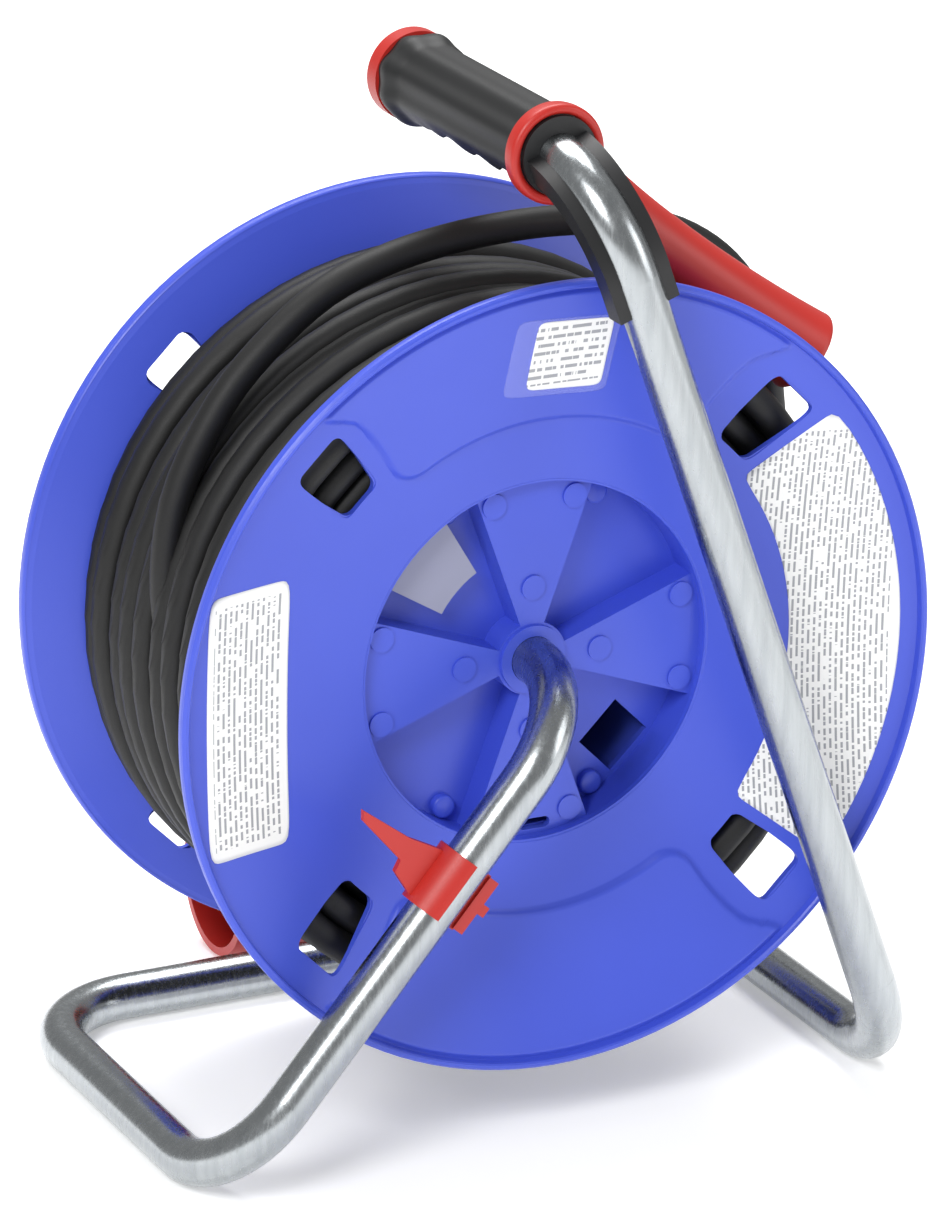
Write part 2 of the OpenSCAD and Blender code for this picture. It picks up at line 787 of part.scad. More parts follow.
// Opening along the underside of the sleeve, widened by four finger grooves.
module grip_belly() {
    pitch = (grip_len - 50) / 3;
    translate([-6, 10, 10]) cube([12, 8, grip_len - 30]);
    for (k = [0 : 3]) {
        translate([0, 11, 20 + k * pitch]) rotate([-90, 0, 0]) cylinder(h = 8, r = 9, $fn = 48);
    }
}

module grip_core() {
    color(red) place() on_handle(grip_front + ring_len) {
        pipe(grip_len, core_r, tube_r);
        translate([0, 0, grip_len - 7]) pipe(7, ring_r - 1.2, tube_r);
    }
}

module grip_sleeve() {
    color(black) place() on_handle(grip_front + ring_len) difference() {
        union() {
            pipe(grip_len - 7, grip_r, core_r);
            translate([0, 0, grip_len - 19]) difference() {
                cylinder(h = 12, r1 = grip_r, r2 = ring_r - 1.4);
                translate([0, 0, -1]) cylinder(h = 14, r = core_r);
            }
        }
        grip_belly();
    }
}

module grip_end_cap() {
    color(black) place() on_handle(grip_back) {
        cylinder(h = 3, r1 = ring_r - 1.2, r2 = ring_r - 4);
        translate([0, 0, -7]) cylinder(h = 7, r = tube_r);
    }
}

// Ring inside the front ring, with two prongs that straddle the bend of the tube.
prong_w = 9;
prong_t = 6.4;
module grip_saddle() {
    color(black) place() difference() {
        union() {
            on_handle(grip_front - 1) cylinder(h = ring_len + 1, r = core_r + 1.5);
            for (side = [tube_r - 3, 3 - tube_r - prong_t]) {
                at_bend(route[6], post_dir, [0, 1, 0]) {
                    rotate_extrude(angle = 90)
                        translate([bend_r - prong_w / 2, side]) square([prong_w, prong_t]);
                    translate([bend_r - prong_w / 2 + 0.1, -12, side + 0.1])
                        cube([prong_w - 0.2, 12.5, prong_t - 0.2]);
                }
            }
        }
        bent_bar(tube_r);
    }
}

// Cable guide: the front ring of the grip, drawn out into a trough that curls
// into a round mouth. guide_path is its middle line and guide_span how far it wraps.
guide_from = [handle_shift + 11, grip_front + 30.5, handle_rise - 12];
guide_to = [111, 38, 96];
guide_neck = 10.5;
guide_t = 2.4;
function guide_mid(s) = guide_from * (1 - s) + guide_to * s;
function guide_span(s) = 95 + 225 * s * s;
function guide_rad(s) = guide_neck + (ring_r - guide_neck) * pow(1 - s, 4)
    + (guide_r - guide_neck) * pow(s, 3);
function guide_point(s, t, r) = let (d = unit(guide_to - guide_from),
    v = unit(cross(d, [0.25, -1, 0.3])), u = cross(v, d), a = guide_span(s) * (t - 0.5))
    guide_mid(s) + r * (u * cos(a) + v * sin(a));
module cable_guide() {
    ns = 14;
    nt = 18;
    row = 2 * (nt + 1);
    pts = [for (i = [0 : ns]) let (s = i / ns) each concat(
        [for (k = [0 : nt]) guide_point(s, k / nt, guide_rad(s))],
        [for (k = [nt : -1 : 0]) guide_point(s, k / nt, guide_rad(s) - guide_t)])];
    sides = [for (i = [0 : ns - 1]) for (k = [0 : row - 1]) each [
        [i * row + k, (i + 1) * row + k, i * row + (k + 1) % row],
        [(i + 1) * row + k, (i + 1) * row + (k + 1) % row, i * row + (k + 1) % row]]];
    ends = [for (e = [0, ns]) for (k = [0 : nt - 1]) let (q = e * row, a = q + k, b = q + k + 1,
        c = q + row - 2 - k, d = q + row - 1 - k) each e == 0 ?
        [[a, b, c], [a, c, d]] : [[a, c, b], [a, d, c]]];
    color(red) place() {
        on_handle(grip_front) pipe(ring_len, ring_r, core_r + 1.5);
        on_handle(grip_front) rotate([0, 0, -20]) rotate_extrude(angle = 100)
            translate([grip_r + gap, 0]) square([ring_r - grip_r - gap, 24]);
        polyhedron(points = pts, faces = concat(sides, ends));
    }
}

// Plug clip on the leg: local x points up and left, y to the drum, z down the leg.
module on_leg(t) {
    p = route[1] + leg_dir * t;
    x = cross([0, 1, 0], leg_dir);
    multmatrix([[x.x, 0, leg_dir.x, p.x], [x.y, 1, leg_dir.y, p.y], [x.z, 0, leg_dir.z, p.z],
        [0, 0, 0, 1]]) children();
}

module plug_clip() {
    inner = tube_r + pin_clear;
    color(red) place() on_leg(clip_along) translate([0, 0, -clip_len / 2]) {
        rotate([0, 0, -clip_open]) rotate_extrude(angle = 262)
            translate([inner, 0]) square([clip_out - inner, clip_len]);
        translate([0, 1.2, 0]) rotate([90, 0, 0]) linear_extrude(2.4)
            polygon([[clip_out - 1.5, 2], [25, 5.5], [47, 7], [44.5, 10], [23, 13.5], [22, 18],
                [clip_out - 1.5, 22]]);
        translate([-clip_out - 3.5, -2, 0.6]) cube([4.5, 3.6, clip_len - 1.2]);
        translate([-clip_out - 7, -1.2, clip_len / 2 - 2]) cube([4, 2.4, 4]);
    }
}

// Stickers: a thin skin of the dished flange, cut to the outline.
module sticker(pts, low, high) {
    steps = [for (k = [0 : dish_steps]) hub_r + (lip_r - hub_r) * k / dish_steps];
    place() intersection() {
        turned(concat([for (r = steps) [r, dish(r) - high]],
            [for (k = [dish_steps : -1 : 0]) [steps[k], dish(steps[k]) - low]]));
        slab(pts, -5, hub_depth + 5);
    }
}

module label_left() {
    color("white")
        sticker(rounded([[-130, -48], [-99, -48], [-99, 48.5], [-130, 48.5]], 2.5), 0, 0.25);
}

module label_right() {
    half = 38;
    color("white") sticker(concat([for (k = [-8 : 8]) polar(136, k * half / 8)],
        [for (k = [8 : -1 : -8]) polar(97, k * half / 8)]), 0, 0.25);
}

module label_film() {
    color([0.8, 0.85, 1, 0.5])
        sticker(rounded([[-20, 102], [20, 100], [22, 130], [-18, 132]], 2), 0, 0.12);
}

module label_top() {
    color("white") sticker([[-13, 103], [16, 101.5], [17.5, 130], [-11.5, 131.5]], 0.12, 0.3);
}

// Outer shape of the wound cable.
module cable_winding() {
    side = wall + 1.5;
    steps = [for (k = [0 : 6]) barrel_r + (coil_r - barrel_r) * k / 6];
    color(black) place() turned(concat([for (r = steps) [r, dish(r) + side]],
        [for (k = [6 : -1 : 0]) [steps[k], drum_w - dish(steps[k]) - side]]));
}

// The last of the cable, inside the drum.
module cable_inner_end() {
    color(black) place() in_entry() translate([-22, 0, 0]) rotate([0, 90, 0])
        cylinder(h = barrel_r - barrel_in + 21.7, r = cable_d / 2);
}

// Sweeps a round cable along a list of points.
function point_dir(p, i) = unit(p[min(i + 1, len(p) - 1)] - p[max(i - 1, 0)]);
function around(p, i, n, r) = let (d = point_dir(p, i), u = unit(cross(d, [0.13, 0.2, 0.97])),
    v = cross(d, u)) [for (k = [0 : n - 1]) p[i] + r * (u * cos(360 * k / n) + v * sin(360 * k / n))];
module swept(p, r, n = 10) {
    last = (len(p) - 1) * n;
    polyhedron(points = [for (i = [0 : len(p) - 1]) each around(p, i, n, r)],
        faces = concat([[for (k = [n - 1 : -1 : 0]) k], [for (k = [0 : n - 1]) last + k]],
            [for (i = [0 : len(p) - 2]) for (k = [0 : n - 1])
                [i * n + k, i * n + (k + 1) % n, (i + 1) * n + (k + 1) % n, (i + 1) * n + k]]));
}

module cable_tail() {
    color(black) place() swept(tail, cable_d / 2);
}

// Five-pin plug lying on the ground behind the reel, made along -X from the cable.
module on_plug(t) {
    translate(plug_at - [t, 0, 0]) rotate([0, -90, 0]) children();
}

module plug_nut() {
    color(black) place() on_plug(0) cylinder(h = plug_nut_len, r1 = 10, r2 = 15);
}

module plug_body() {
    color(black) place() on_plug(plug_nut_len) rotate_extrude()
        polygon([[0, 0], [15, 0], [19, 8], [25, 16], [25.5, 46], [22, 50], [0, 50]]);
}

module plug_collar() {
    color(red) place() on_plug(plug_face) difference() {
        union() {
            cylinder(h = 6, r = plug_r - eps);
            cylinder(h = plug_len - plug_face, r = shroud_r);
        }
        translate([0, 0, shroud_floor]) cylinder(h = plug_len, r = shroud_r - 3.2);
    }
}

module plug_pins() {
    color(brass) place() on_plug(plug_face + shroud_floor) {
        for (i = [0 : 4]) {
            rotate([0, 0, 72 * i]) translate([phase_pcd_r, 0, 0])
                cylinder(h = 36, r = phase_hole_r(i) - 0.2, $fn = 48);
        }
    }
}

frame_tube();
axle_end_plug();
axle_washer();
axle_circlip();
front_bush();
rear_bush();
drum_front();
drum_rear();
drum_screws();
hub_cover_plate();
socket_panel();
panel_screws();
socket_left();
socket_right();
earth_clips();
lid_left();
lid_right();
lid_pins();
lid_springs();
phase_socket();
phase_contacts();
phase_lid();
phase_lid_pin();
phase_lid_spring();
cutout_body();
cutout_button();
cutout_spring();
cutout_nut();
strain_relief();
strain_screws();
terminal_block();
inner_leads();
knob_pin();
knob();
knob_cap();
grip_core();
grip_sleeve();
grip_end_cap();
grip_saddle();
cable_guide();
plug_clip();
label_left();
label_right();
label_film();
label_top();
cable_winding();
cable_inner_end();
cable_tail();
plug_nut();
plug_body();
plug_collar();
plug_pins();
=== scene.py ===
import json
import math

import bpy
import numpy as np
from mathutils import Matrix, Vector

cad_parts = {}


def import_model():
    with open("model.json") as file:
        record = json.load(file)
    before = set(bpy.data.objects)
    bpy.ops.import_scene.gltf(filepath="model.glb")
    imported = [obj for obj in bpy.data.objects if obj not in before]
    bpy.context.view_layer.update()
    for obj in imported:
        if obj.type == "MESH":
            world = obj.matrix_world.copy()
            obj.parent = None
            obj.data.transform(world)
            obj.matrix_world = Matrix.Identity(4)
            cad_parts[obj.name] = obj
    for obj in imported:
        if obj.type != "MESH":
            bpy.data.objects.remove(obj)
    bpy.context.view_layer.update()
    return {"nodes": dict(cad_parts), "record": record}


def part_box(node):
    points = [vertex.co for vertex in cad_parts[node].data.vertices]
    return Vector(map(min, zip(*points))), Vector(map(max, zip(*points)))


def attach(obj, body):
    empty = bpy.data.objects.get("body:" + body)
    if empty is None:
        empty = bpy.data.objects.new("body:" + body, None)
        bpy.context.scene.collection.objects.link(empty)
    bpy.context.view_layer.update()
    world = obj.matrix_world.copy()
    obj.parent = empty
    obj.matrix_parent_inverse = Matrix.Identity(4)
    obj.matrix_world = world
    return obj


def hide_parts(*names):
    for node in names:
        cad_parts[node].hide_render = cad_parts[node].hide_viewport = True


bl_info = {
    "name": "Cable reel finishes",
    "version": (1, 0, 0),
    "blender": (4, 5, 0),
    "location": "3D View > Sidebar > Cable Reel",
    "description": "Builds the visible surfaces, cable and materials of a steel-tube cable reel",
    "category": "Object",
}

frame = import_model()

# The drum's own frame: its axis, the face of its plain rim and its two flanges, in metres.
MM = 0.001
LOW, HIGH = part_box("drum_front")
AXLE = np.array([(LOW[0] + HIGH[0]) / 2, 0.0, (LOW[2] + HIGH[2]) / 2])
RIM_Y = LOW[1]
DRUM_R = (HIGH[0] - LOW[0]) / 2
DRUM_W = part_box("drum_rear")[1][1] - RIM_Y
HUB_R, LIP_R, WALL = 0.0675, DRUM_R - 0.003, 0.0025
HUB_DEPTH, RIM_DEPTH = 0.0225, 0.0035

# The handle's axis, and the front of the cable guide that is held on it.
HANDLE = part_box("grip_end_cap")
HANDLE_X = (HANDLE[0][0] + HANDLE[1][0]) / 2
HANDLE_Z = (HANDLE[0][2] + HANDLE[1][2]) / 2
GUIDE_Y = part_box("cable_guide")[0][1]

# Moulded face of a flange: how far it stands in front of the plain wall, and its raised fields,
# by the angles of their middle lines and their half width in degrees.
PROUD = 0.00035
FIELD_HEIGHT, FIELD_REACH = 0.0016, 0.0915
FIELD_MIDDLES, FIELD_HALF = (91.2, 270.2), 36.2

# Rim windows: the radius of their middle, and half their size along the radius.
WINDOW_R, WINDOW_HALF = 0.116, 0.015

# Cable: its radius, and the layers that it is wound in.
CABLE_R = 0.0056
LAYERS, TURNS, FIRST_LAYER_R, LAYER_PITCH = 5, 9.55, 0.0749, 0.0116

# Route of the free cable, in drum coordinates and millimetres. The first four points sink its
# start into the winding, and the others repeat the part's own drawing.
TAIL = [(-112.4, 74, -11.8), (-117.2, 74, 8.2), (-119.2, 74, 34.2), (-114.1, 74, 63.3),
        (-98, 74, 93), (-78.9, 74.2, 113.1), (-57.9, 74.3, 128.3), (-34.8, 74.5, 136.9),
        (-10.8, 75.7, 141), (13.3, 77.8, 142.2), (36.4, 80, 141.3), (58.4, 80, 138.8),
        (78.4, 80, 133.3), (94.4, 80, 124.3), (106.4, 80, 112.8), (114.4, 80, 98.8),
        (119.4, 80, 82.8), (121.9, 81, 66.8), (124.7, 82, 49.9), (130.1, 84, 33.2),
        (134.4, 89, 15.8), (142.4, 98, -0.2), (149.2, 106.7, -13.5), (154.1, 118.3, -25.7),
        (156, 132, -38), (156, 150, -54), (150, 166, -74), (141, 179, -96), (129, 189, -117),
        (113, 197, -134.5), (96, 200, -143), (76, 200, -143)]


def world(x, y, z):
    """Drum coordinates in metres to the frame: the axis is added in x and z, the rim's face in y."""
    return np.stack(np.broadcast_arrays(x + AXLE[0], y + RIM_Y, z + AXLE[2]), -1).astype(float)


def colour(code):
    """A linear colour from an sRGB hex code: each channel c becomes ((c + 0.055) / 1.055) ** 2.4."""
    c = [int(code[i:i + 2], 16) / 255 for i in (1, 3, 5)]
    return tuple(v / 12.92 if v <= 0.04045 else ((v + 0.055) / 1.055) ** 2.4 for v in c) + (1,)


def step(a, b, x):
    """Smooth step: 0 below a, 1 above b, and 3t^2 - 2t^3 of the share t in between."""
    t = np.clip((x - a) / (b - a), 0, 1)
    return t * t * (3 - 2 * t)


def quad_mesh(name, points, faces, material):
    """A smooth mesh from an array of points and an array of four-cornered faces."""
    mesh = bpy.data.meshes.new(name)
    mesh.vertices.add(len(points))
    mesh.vertices.foreach_set("co", np.asarray(points, np.float32).ravel())
    mesh.loops.add(faces.size)
    mesh.loops.foreach_set("vertex_index", faces.astype(np.int32).ravel())
    mesh.polygons.add(len(faces))
    mesh.polygons.foreach_set("loop_start", np.arange(0, faces.size, 4, dtype=np.int32))
    mesh.polygons.foreach_set("loop_total", np.full(len(faces), 4, np.int32))
    mesh.polygons.foreach_set("use_smooth", np.full(len(faces), True))
    mesh.update(calc_edges=True)
    mesh.validate()
    piece = bpy.data.objects.new(name, mesh)
    bpy.context.scene.collection.objects.link(piece)
    mesh.materials.append(material)
    return piece


def grid_faces(nu, nv, wrap_v=False, base=0, flip=False):
    """Corners of every cell of an nu by nv grid, going round in v where it wraps. The grid's
    first point has the number base."""
    i, j = np.meshgrid(np.arange(nu - 1), np.arange(nv if wrap_v else nv - 1), indexing="ij")
    after = (j + 1) % nv
    corners = [i * nv + j, (i + 1) * nv + j, (i + 1) * nv + after, i * nv + after]
    quads = np.stack(corners, -1).reshape(-1, 4) + base
    return quads[:, ::-1] if flip else quads


def surface(name, points, material, body, replaces=(), wrap_v=False, flip=False):
    """A piece from a grid of points, an array of nu by nv by 3, that rides on a body."""
    nu, nv = points.shape[:2]
    faces = grid_faces(nu, nv, wrap_v, flip=flip)
    piece = quad_mesh(name, points.reshape(-1, 3), faces, material)
    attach(piece, body)
    if replaces:
        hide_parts(*replaces)
    return piece


def turned(profile, turn):
    """Radius, depth and angle of a profile of (radius, depth) rows turned through the angles."""
    r, angle = np.meshgrid(profile[:, 0], turn, indexing="ij")
    return r, np.broadcast_to(profile[:, 1][:, None], r.shape), angle


def tube(path, radius, sides):
    """A tube round a path: at each point a circle in the plane across the path. Its first axis is
    the cross product of the path's direction with one fixed, nearly upright direction."""
    path = np.asarray(path, float)
    along = np.gradient(path, axis=0)
    along /= np.linalg.norm(along, axis=1)[:, None]
    first = np.cross(along, [0.13, 0.2, 0.97])
    first /= np.linalg.norm(first, axis=1)[:, None]
    second = np.cross(along, first)
    turn = np.linspace(0, 2 * np.pi, sides, endpoint=False)
    c, s = np.cos(turn)[None, :, None], np.sin(turn)[None, :, None]
    return path[:, None] + radius * (first[:, None] * c + second[:, None] * s)


def spline_path(points, count):
    """Catmull-Rom curve through the points: each span is the cubic whose end slopes are half
    the step between the points on either side."""
    p = np.asarray(points, float)
    p = np.vstack([2 * p[0] - p[1], p, 2 * p[-1] - p[-2]])
    t = np.linspace(0, len(p) - 3 - 1e-9, count)
    i = t.astype(int)
    u = (t - i)[:, None]
    a, b, c, d = p[i], p[i + 1], p[i + 2], p[i + 3]
    square, cube = 2 * a - 5 * b + 4 * c - d, 3 * b - a - 3 * c + d
    return 0.5 * (2 * b + (c - a) * u + square * u ** 2 + cube * u ** 3)


# ---------------------------------------------------------------- materials

def add(tree, kind, inputs=(), **settings):
    """Adds one node, with its settings, and sets or links its inputs."""
    node = tree.nodes.new(kind)
    for key, value in settings.items():
        setattr(node, key, value)
    for key, value in dict(inputs).items():
        if isinstance(value, bpy.types.NodeSocket):
            tree.links.new(value, node.inputs[key])
        else:
            node.inputs[key].default_value = value
    return node


def plain(name, code, roughness, **shader):
    """A material with one principled shader and its constants."""
    material = bpy.data.materials.new(name)
    material.use_nodes = True
    tree = material.node_tree
    bsdf = tree.nodes["Principled BSDF"]
    bsdf.inputs["Base Color"].default_value = colour(code)
    bsdf.inputs["Roughness"].default_value = roughness
    for key, value in shader.items():
        bsdf.inputs[key.replace("_", " ")].default_value = value
    return material, tree, bsdf


def scaled(tree, vector, factors):
    """A vector multiplied by one factor for each axis."""
    return add(tree, "ShaderNodeVectorMath", {0: vector, 1: factors}, operation="MULTIPLY").outputs[0]


def place_mm(tree):
    """Object coordinates in millimetres."""
    return scaled(tree, add(tree, "ShaderNodeTexCoord").outputs["Object"], (1000, 1000, 1000))


def grain(tree, bsdf, per_mm, strength, depth_mm, detail=3.0, where=None, rough=None):
    """Fine moulded or drawn grain: a noise of the given scale that drives the bump, and the
    roughness between two values where rough is given."""
    spot = where or place_mm(tree)
    noise = add(tree, "ShaderNodeTexNoise", {"Vector": spot, "Scale": per_mm, "Detail": detail})
    height = noise.outputs["Fac"]
    bump = add(tree, "ShaderNodeBump",
               {"Height": height, "Strength": strength, "Distance": depth_mm * MM})
    tree.links.new(bump.outputs[0], bsdf.inputs["Normal"])
    if rough:
        span = add(tree, "ShaderNodeMapRange", {"Value": height, "From Min": 0.3, "From Max": 0.7,
                                                "To Min": rough[0], "To Max": rough[1]})
        tree.links.new(span.outputs[0], bsdf.inputs["Roughness"])
    return spot


def blend(tree, bsdf, share, low, high):
    """Colours a shader between two tones, by a share from 0 to 1."""
    mix = add(tree, "ShaderNodeMix", {"Factor": share, "A": colour(low), "B": colour(high)},
              data_type="RGBA")
    tree.links.new(mix.outputs["Result"], bsdf.inputs["Base Color"])


def mottle(tree, bsdf, spot, per_mm, low, high):
    """Slow change of colour between two tones, as moulding leaves it."""
    noise = add(tree, "ShaderNodeTexNoise", {"Vector": spot, "Scale": per_mm, "Detail": 2.0})
    blend(tree, bsdf, noise.outputs["Fac"], low, high)


def grained(name, code, roughness, per_mm, strength, depth_mm, rough=None, **shader):
    """A material of one colour with fine grain."""
    material, tree, bsdf = plain(name, code, roughness, **shader)
    grain(tree, bsdf, per_mm, strength, depth_mm, rough=rough)
    return material


def moulded(name, code, roughness, fine, rough, patches, detail=3.0):
    """A moulded material. The values of fine are the grain's scale, strength and depth; those of
    patches are the scale and the two tones of the slow change of colour."""
    material, tree, bsdf = plain(name, code, roughness)
    spot = grain(tree, bsdf, *fine, detail=detail, rough=rough)
    mottle(tree, bsdf, spot, *patches)
    return material


def blue_polypropylene():
    """Moulded polypropylene: deep blue with a soft, waxy shine."""
    return moulded("blue_polypropylene", "#3f54ca", 0.36, (1.6, 0.10, 0.05), (0.32, 0.42),
                   (0.02, "#3c50c6", "#4458ce"))


def galvanised_tube():
    """Drawn and zinc-plated tube: bright streaks run along the object's z, where the scale of
    both noises is 25 times coarser."""
    material, tree, bsdf = plain("galvanised_tube", "#a7acae", 0.26, Metallic=1.0)
    drawn = scaled(tree, place_mm(tree), (1.0, 1.0, 0.04))
    grain(tree, bsdf, 0.9, 0.03, 0.03, where=drawn, rough=(0.2, 0.3))
    mottle(tree, bsdf, drawn, 0.35, "#9a9fa2", "#b6babc")
    return material


def zinc_steel():
    """Zinc-plated steel: a pale metal with slightly blurred highlights."""
    return grained("zinc_plated_steel", "#b9bbb8", 0.32, 3.0, 0.05, 0.03, (0.28, 0.4), Metallic=1.0)


def spring_wire():
    """Wound spring steel: bands of bump across x stand for the coils on a plain sleeve."""
    material, tree, bsdf = plain("spring_wire", "#8d8f90", 0.3, Metallic=1.0)
    wound = add(tree, "ShaderNodeTexWave",
                {"Vector": place_mm(tree), "Scale": 0.3, "Distortion": 0.0}, bands_direction="X")
    bump = add(tree, "ShaderNodeBump",
               {"Height": wound.outputs["Fac"], "Strength": 0.8, "Distance": 0.4 * MM})
    tree.links.new(bump.outputs[0], bsdf.inputs["Normal"])
    return material


def contact_brass():
    """Turned brass: a warm yellow metal with a slightly uneven shine."""
    return grained("turned_brass", "#c9a35a", 0.28, 4.0, 0.06, 0.03, (0.22, 0.36), Metallic=1.0)


def red_plastic():
    """Moulded polypropylene in signal red, a little duller than the drum."""
    return moulded("red_polypropylene", "#b6251d", 0.38, (1.8, 0.12, 0.05), (0.36, 0.46),
                   (0.03, "#b2231b", "#bb2820"))


def black_plastic():
    """Polyamide with an eroded mould finish: a dark, even surface with a broad dull shine."""
    return moulded("black_polyamide", "#161618", 0.42, (2.6, 0.18, 0.06), (0.4, 0.52),
                   (0.05, "#141516", "#19191b"))


def soft_grip():
    """Soft elastomer: near black and matt, with a fine grain that breaks up highlights."""
    return moulded("soft_grip_elastomer", "#131415", 0.55, (4.5, 0.25, 0.06), (0.48, 0.62),
                   (0.04, "#111213", "#161718"))


def cable_rubber():
    """Extruded rubber jacket: the darkest and dullest surface, with a slightly uneven skin."""
    return moulded("rubber_cable_jacket", "#090909", 0.55, (3.5, 0.22, 0.07), (0.5, 0.68),
                   (0.04, "#070708", "#0b0b0b"), detail=4.0)


def panel_grey():
    """Grey moulding, matt."""
    return grained("grey_moulding", "#8d8fa6", 0.5, 2.0, 0.15, 0.05)


def relief_nylon():
    """Undyed nylon: ivory, with a soft shine."""
    return grained("natural_nylon", "#dedccb", 0.45, 2.0, 0.15, 0.05)


def wire_insulation():
    """Insulation of the inner leads, in the green of an earth lead's two colours."""
    return grained("green_yellow_insulation", "#3f7d3c", 0.4, 3.0, 0.1, 0.03)


def clear_film():
    """Clear adhesive film: the blue shows through it, under a sharper shine."""
    return grained("clear_adhesive_film", "#aab4ff", 0.12, 0.6, 0.08, 0.05,
                   Alpha=0.28, Coat_Weight=0.6)


def printed_vinyl(name, along, across, low, high, pitch, start, stop):
    """White vinyl under a thin clear coat, with blank grey bars in place of print. With u along
    the rows and v across them, in millimetres, a bar lies where the fraction of v / pitch is below
    0.42, a coarse noise along the row is above 0.46, u is between low and high, and v is between
    start and stop."""
    material, tree, bsdf = plain(name, "#eeeeec", 0.42, Coat_Weight=0.25, Coat_Roughness=0.25)
    spot = place_mm(tree)

    def calc(operation, *values):
        return add(tree, "ShaderNodeMath", enumerate(values), operation=operation).outputs[0]

    def measure(direction):
        dot = add(tree, "ShaderNodeVectorMath", {0: spot, 1: direction}, operation="DOT_PRODUCT")
        return dot.outputs["Value"]

    u, v = measure(along), measure(across)
    row = calc("DIVIDE", v, pitch)
    bar = calc("LESS_THAN", calc("FRACT", row), 0.42)
    cell = add(tree, "ShaderNodeCombineXYZ", {0: u, 1: calc("FLOOR", row)}).outputs[0]
    word = add(tree, "ShaderNodeTexNoise", {"Vector": cell, "Scale": 0.55, "Detail": 1.0})
    for other in (calc("GREATER_THAN", word.outputs["Fac"], 0.46),
                  calc("GREATER_THAN", v, start), calc("LESS_THAN", v, stop),
                  calc("GREATER_THAN", u, low), calc("LESS_THAN", u, high)):
        bar = calc("MULTIPLY", bar, other)
    blend(tree, bsdf, bar, "#eeeeec", "#9a9ca0")
    grain(tree, bsdf, 0.8, 0.06, 0.04, where=spot)
    return material


def blank_vinyl():
    """White vinyl with nothing on it."""
    return grained("blank_vinyl", "#eeeeec", 0.42, 0.8, 0.06, 0.04)


def studio_floor():
    """White studio paint, which gives off a little light of its own so that it stays white."""
    return grained("studio_floor_paint", "#ffffff", 0.8, 0.05, 0.02, 0.3,
                   Emission_Color=(1, 1, 1, 1), Emission_Strength=0.3)


MATERIALS = {}
MAKERS = {"drum_blue": blue_polypropylene, "bush_blue": blue_polypropylene, "tube_steel": galvanised_tube,
          "screw_steel": zinc_steel, "spring_steel": spring_wire, "contact_brass": contact_brass,
          "socket_black": black_plastic, "grip_soft": soft_grip, "accent_red": red_plastic,
          "cable_rubber": cable_rubber, "cover_grey": panel_grey, "relief_white": relief_nylon,
          "lead_green": wire_insulation, "label_clear": clear_film, "label_paper": blank_vinyl}


def finish_of(slot):
    """The material of a finish, made once."""
    if slot not in MATERIALS:
        MATERIALS[slot] = MAKERS[slot]()
    return MATERIALS[slot]


# ---------------------------------------------------------------- drum flanges

def dish_depth(r):
    """Depth of the flange behind its rim: 3.5 mm plus 19 mm times (1 - s)(1 + 0.35 s), where s
    runs from 0 at the hub recess to 1 at the lip."""
    s = (r - HUB_R) / (LIP_R - HUB_R)
    return RIM_DEPTH + (HUB_DEPTH - RIM_DEPTH) * (1 - s) * (1 + 0.35 * s)


def field_mask(r, angle, middle):
    """1 inside a raised field, 0 outside. The field runs from an arc at radius FIELD_REACH, where
    s is 0, to the lip, where s is 1. Each side lies FIELD_HALF degrees from the middle line, less
    1.2 sin(1.25 pi s) up to s = 0.8, plus a smooth step of 3.2 from s = 0.72. The two inner
    corners are rounded."""
    pinch, flare, corner, edge_blend = 1.2, 3.2, 0.011, 0.0008
    off = np.abs((angle - middle + 180) % 360 - 180)
    s = (r - FIELD_REACH) / (LIP_R - FIELD_REACH)
    edge = FIELD_HALF - pinch * np.sin(np.pi * np.clip(s * 1.25, 0, 1)) + flare * step(0.72, 1.0, s)
    lateral = (edge - off) * np.pi / 180 * r
    inward = r - FIELD_REACH
    dx, dy = np.minimum(lateral - corner, 0), np.minimum(inward - corner, 0)
    rounded = corner - np.hypot(dx, dy)
    in_corner = (lateral < corner) & (inward < corner)
    signed = np.where(in_corner, rounded, np.minimum(lateral, inward))
    return step(-edge_blend, edge_blend, signed)


def face_depth(r, angle):
    """Depth of a flange's face: the dish, less FIELD_HEIGHT inside the two raised fields. The
    fields run down to the dish over the last 2.5 mm before the lip."""
    upper, lower = [field_mask(r, angle, middle) for middle in FIELD_MIDDLES]
    height = FIELD_HEIGHT * np.maximum(upper, lower) * step(LIP_R, LIP_R - 0.0025, r)
    return dish_depth(np.minimum(r, LIP_R)) - height


def superellipse(t, power):
    """A square with rounded corners, from -1 to 1 each way: |x|^power + |y|^power = 1, at the
    angle t."""
    c, s = np.cos(t), np.sin(t)
    k = (np.abs(c) ** power + np.abs(s) ** power) ** (-1 / power)
    return k * c, k * s


def window_outline(t, mid, grow):
    """Radius and angle of a rim window: a rounded trapezium from radius 101 to 131 mm, which is a
    superellipse of power 7 stretched to 10.9 mm either way at its outer edge and 8.5 at its inner
    one. It is larger by grow all round."""
    u, v = superellipse(t, 7)
    r = WINDOW_R + u * (WINDOW_HALF + grow)
    half = np.radians(4.8 + 0.6 * u) * WINDOW_R + grow
    return r, np.degrees(v * half / r) + mid


